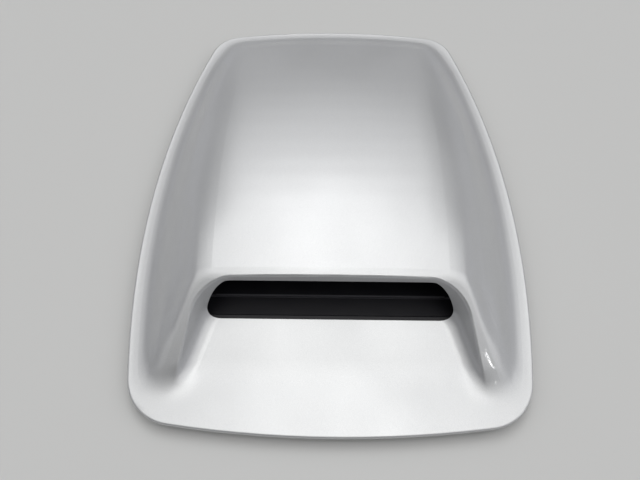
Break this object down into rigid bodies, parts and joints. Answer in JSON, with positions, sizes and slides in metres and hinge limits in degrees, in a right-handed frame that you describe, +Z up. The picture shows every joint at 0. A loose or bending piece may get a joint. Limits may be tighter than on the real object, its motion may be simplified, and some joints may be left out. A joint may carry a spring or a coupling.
{
  "type": "bonnet scoop",
  "caption": "Low painted bonnet scoop with a long falling roof, sloping sides and a wide mouth between its cheeks, over an air duct, a rubber seal and mounting studs.",
  "frame": {"origin": "in the seat plane, the underside of the rubber seal, at the middle of the plan outline", "axes": "+Z up, away from the bonnet; the mouth faces -Y, so +Y points to the windscreen; +X to the right seen from the mouth's front"},
  "size_m": [0.551, 0.6979, 0.0949],
  "materials": {
    "silver_paint": "silver metallic paint under clear coat on moulded plastic",
    "black_plastic": "black moulded plastic with a fine grain",
    "seal_rubber": "matt black rubber",
    "gasket_foam": "dark closed-cell foam",
    "plated_steel": "zinc-plated steel",
    "screw_steel": "dark zinc-plated steel"
  },
  "bodies": {
    "root": {"scoop_shell": "silver_paint", "air_duct": "black_plastic", "perimeter_seal": "seal_rubber", "duct_gasket": "gasket_foam", "mounting_studs": "plated_steel", "duct_screws": "screw_steel"}
  },
  "joints": []
}
